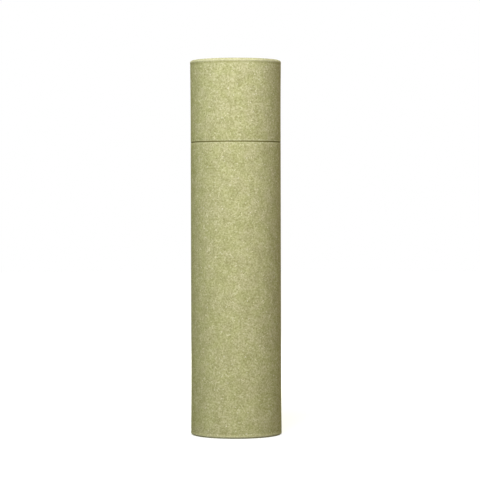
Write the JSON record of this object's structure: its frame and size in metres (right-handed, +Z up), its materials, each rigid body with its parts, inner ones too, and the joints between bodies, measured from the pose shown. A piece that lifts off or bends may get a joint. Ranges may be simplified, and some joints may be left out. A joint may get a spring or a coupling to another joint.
{
  "type": "round paper tube with lid",
  "caption": "Tall slim round cardboard tube with rolled-in ends, a slip-on lid and an inner neck, that stores incense sticks upright.",
  "frame": {"origin": "middle of the ring of rolled board that the tube stands on", "axes": "+Z up the axis of the tube, from the rolled bottom to the top of the lid; the tube is round, so +X and +Y only mark the turn, with the lap of the cover paper at +Y"},
  "size_m": [0.0536, 0.0536, 0.22],
  "materials": {
    "cover_paper": "matte",
    "disc_paper": "matte",
    "neck_board": "matte"
  },
  "bodies": {
    "body": {"body_tube": "cover_paper", "base_disc": "disc_paper", "neck_tube": "neck_board"},
    "lid": {"lid_tube": "cover_paper", "lid_disc": "disc_paper"}
  },
  "joints": [
    {"name": "lid_lift", "type": "slide", "parent": "body", "child": "lid", "axis": [0, 0, 1], "range_m": [0, 0.07]}
  ]
}
